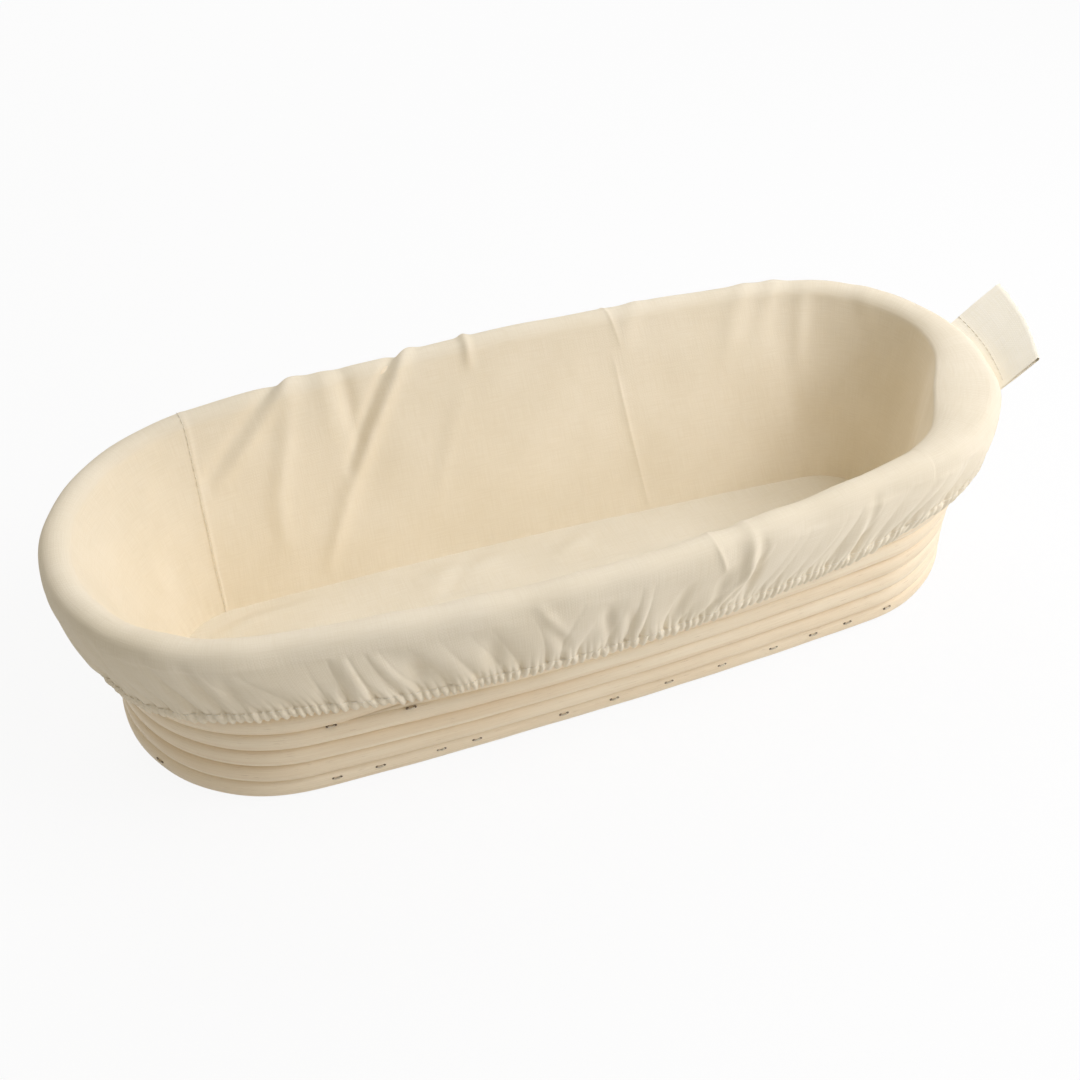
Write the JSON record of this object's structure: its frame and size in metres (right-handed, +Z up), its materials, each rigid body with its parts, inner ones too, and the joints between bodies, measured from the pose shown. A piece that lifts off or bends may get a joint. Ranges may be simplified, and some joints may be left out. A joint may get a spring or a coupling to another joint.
{
  "type": "proofing basket",
  "caption": "Long oval proofing basket of coiled rattan cane, with a sewn cloth liner that turns over the rim to an elastic hem and a blank folded tape label at one end.",
  "frame": {"origin": "middle of the core cane's flat underside, on the plane that the basket stands on", "axes": "+X along the basket towards the end with the label, +Y across it towards the back in the picture, +Z up"},
  "size_m": [0.3791, 0.1528, 0.0917],
  "materials": {
    "rattan": "satin",
    "liner_cotton": "matte plain weave",
    "elastic": "matte",
    "label_tape": "matte woven tape",
    "staple_wire": "dull"
  },
  "bodies": {
    "root": {"core_cane": "rattan", "base_coil": "rattan", "lower_wall_coil": "rattan", "upper_wall_coil": "rattan", "liner_floor_panel": "liner_cotton", "liner_side_band": "liner_cotton", "hem_elastic": "elastic", "label_loop": "label_tape", "base_staple_01": "staple_wire", "base_staple_02": "staple_wire", "base_staple_03": "staple_wire", "base_staple_04": "staple_wire", "base_staple_05": "staple_wire", "base_staple_06": "staple_wire", "base_staple_07": "staple_wire", "base_staple_08": "staple_wire", "base_staple_09": "staple_wire", "base_staple_10": "staple_wire", "base_staple_11": "staple_wire", "base_staple_12": "staple_wire", "base_staple_13": "staple_wire", "base_staple_14": "staple_wire", "base_staple_15": "staple_wire", "base_staple_16": "staple_wire", "base_staple_17": "staple_wire", "base_staple_18": "staple_wire", "base_staple_19": "staple_wire", "base_staple_20": "staple_wire", "base_staple_21": "staple_wire", "base_staple_22": "staple_wire", "base_staple_23": "staple_wire", "base_staple_24": "staple_wire", "base_staple_25": "staple_wire", "base_staple_26": "staple_wire"}
  },
  "joints": []
}
